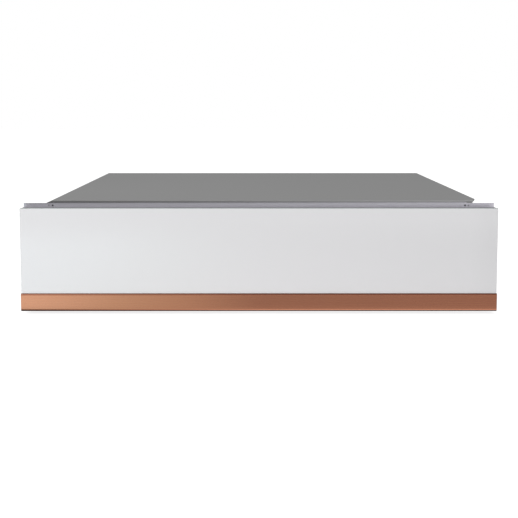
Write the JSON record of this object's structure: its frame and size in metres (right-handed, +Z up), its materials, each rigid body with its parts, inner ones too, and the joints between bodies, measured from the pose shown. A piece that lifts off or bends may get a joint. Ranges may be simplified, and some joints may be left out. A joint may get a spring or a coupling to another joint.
{
  "type": "vacuum sealing drawer",
  "caption": "Built-in drawer with white glass front and copper-toned strip, holding a vacuum chamber with glass lid, sealing bar, pump and fan on full-extension rails.",
  "frame": {"origin": "on the floor under the middle of the footprint, from the copper strip's face to the rear screw heads", "axes": "+X to the right seen from the front, +Y to the back, +Z up; the drawer opens along -Y"},
  "size_m": [0.597, 0.55, 0.14],
  "materials": {
    "housing_steel": "zinc-coated sheet, satin",
    "cover_steel": "grey brushed sheet, fine lengthwise grain",
    "frame_steel": "pale grey coated sheet",
    "rail_steel": "bright zinc",
    "screw_steel": "bright steel",
    "deck_steel": "brushed stainless steel",
    "white_glass": "white back-painted glass with ground edges",
    "black_glass": "black back-painted glass",
    "clear_glass": "clear toughened glass",
    "copper_strip": "copper-toned anodised aluminium, brushed lengthwise",
    "bar_aluminium": "satin aluminium",
    "cast_aluminium": "cast aluminium",
    "cage_brass": "bright brass sheet and steel balls",
    "black_plastic": "matt black moulding",
    "white_plastic": "white moulding",
    "rubber": "black rubber",
    "hose_rubber": "black hose rubber",
    "silicone": "red silicone",
    "bond_foam": "white adhesive sheet",
    "motor_paint": "dark grey paint",
    "iron_sheets": "stacked iron sheets",
    "copper_wire": "enamelled copper wire",
    "circuit_board": "green circuit board",
    "band_cover": "brown glass-cloth tape"
  },
  "bodies": {
    "housing": {"housing_shell": "housing_steel", "rear_wall": "housing_steel", "top_tray": "housing_steel", "top_cover": "cover_steel", "front_frame": "frame_steel", "outer_rails": "rail_steel", "housing_screws": "screw_steel", "latch_body": "black_plastic", "mains_inlet": "black_plastic", "feet": "rubber", "front_buffers": "rubber"},
    "latch_plunger": {"latch_plunger": "white_plastic"},
    "middle_rails": {"middle_rails": "rail_steel"},
    "outer_cages": {"outer_ball_cages": "cage_brass"},
    "inner_cages": {"inner_ball_cages": "cage_brass"},
    "drawer": {"inner_rails": "rail_steel", "drawer_screws": "screw_steel", "front_glass": "white_glass", "trim_strip": "copper_strip", "bonding_sheet": "bond_foam", "front_pan": "frame_steel", "panel_back": "housing_steel", "drawer_tray": "housing_steel", "drawer_rear": "housing_steel", "deck": "deck_steel", "latch_striker": "rail_steel", "chamber_tub": "deck_steel", "suction_fitting": "cast_aluminium", "control_glass": "black_glass", "display_board": "circuit_board", "lift_cylinders": "cast_aluminium", "hinge_brackets": "deck_steel", "hinge_pins": "screw_steel", "hinge_springs": "screw_steel", "motor_casing": "motor_paint", "motor_stator": "copper_wire", "pump_body": "cast_aluminium", "pump_cover": "cast_aluminium", "rubber_mounts": "rubber", "fan_frame": "black_plastic", "transformer_core": "iron_sheets", "transformer_coil": "copper_wire", "main_board": "circuit_board", "valve_block": "cast_aluminium", "valve_coils": "black_plastic", "hoses": "hose_rubber", "exhaust_muffler": "black_plastic"},
    "sealing_bar": {"sealing_bar": "bar_aluminium", "heating_band": "band_cover"},
    "lid": {"lid_glass": "clear_glass", "lid_gasket": "rubber", "lid_grip": "bar_aluminium", "counter_bar": "bar_aluminium", "counter_strip": "silicone", "hinge_arms": "deck_steel"},
    "pump_shaft": {"motor_rotor": "iron_sheets", "pump_rotor": "iron_sheets"},
    "fan": {"fan_impeller": "black_plastic"},
    "suction_plunger": {"suction_plunger": "rail_steel"},
    "vent_plunger": {"vent_plunger": "rail_steel"}
  },
  "joints": [
    {"name": "drawer_slide", "type": "slide", "parent": "housing", "child": "drawer", "axis": [0, -1, 0], "range_m": [-0.003, 0.45]},
    {"name": "middle_rail_slide", "type": "slide", "parent": "housing", "child": "middle_rails", "axis": [0, -1, 0], "range_m": [-0.0015, 0.225]},
    {"name": "outer_cage_slide", "type": "slide", "parent": "housing", "child": "outer_cages", "axis": [0, -1, 0], "range_m": [-0.00075, 0.1125]},
    {"name": "inner_cage_slide", "type": "slide", "parent": "housing", "child": "inner_cages", "axis": [0, -1, 0], "range_m": [-0.00225, 0.3375]},
    {"name": "latch_plunger_slide", "type": "slide", "parent": "housing", "child": "latch_plunger", "axis": [0, -1, 0], "range_m": [-0.0003, 0.0376]},
    {"name": "sealing_bar_lift", "type": "slide", "parent": "drawer", "child": "sealing_bar", "axis": [0, 0, 1], "range_m": [0, 0.0045]},
    {"name": "lid_hinge", "type": "hinge", "parent": "drawer", "child": "lid", "pos_m": [0, 0.098, 0.11], "axis": [-1, 0, 0], "range_deg": [0, 3.5]},
    {"name": "pump_shaft_turn", "type": "hinge", "parent": "drawer", "child": "pump_shaft", "pos_m": [-0.15, 0.172, 0.056], "axis": [1, 0, 0], "continuous": true},
    {"name": "fan_turn", "type": "hinge", "parent": "drawer", "child": "fan", "pos_m": [0.185, 0.2318, 0.056], "axis": [0, 1, 0], "continuous": true},
    {"name": "suction_valve_lift", "type": "slide", "parent": "drawer", "child": "suction_plunger", "axis": [0, 0, 1], "range_m": [0, 0.0025]},
    {"name": "vent_valve_lift", "type": "slide", "parent": "drawer", "child": "vent_plunger", "axis": [0, 0, 1], "range_m": [0, 0.0025]}
  ],
  "couplings": [
    {"joint": "middle_rail_slide", "follows": "drawer_slide", "ratio": 0.5},
    {"joint": "outer_cage_slide", "follows": "drawer_slide", "ratio": 0.25},
    {"joint": "inner_cage_slide", "follows": "drawer_slide", "ratio": 0.75},
    {"joint": "latch_plunger_slide", "follows": "drawer_slide", "ratio": 0.083333}
  ]
}
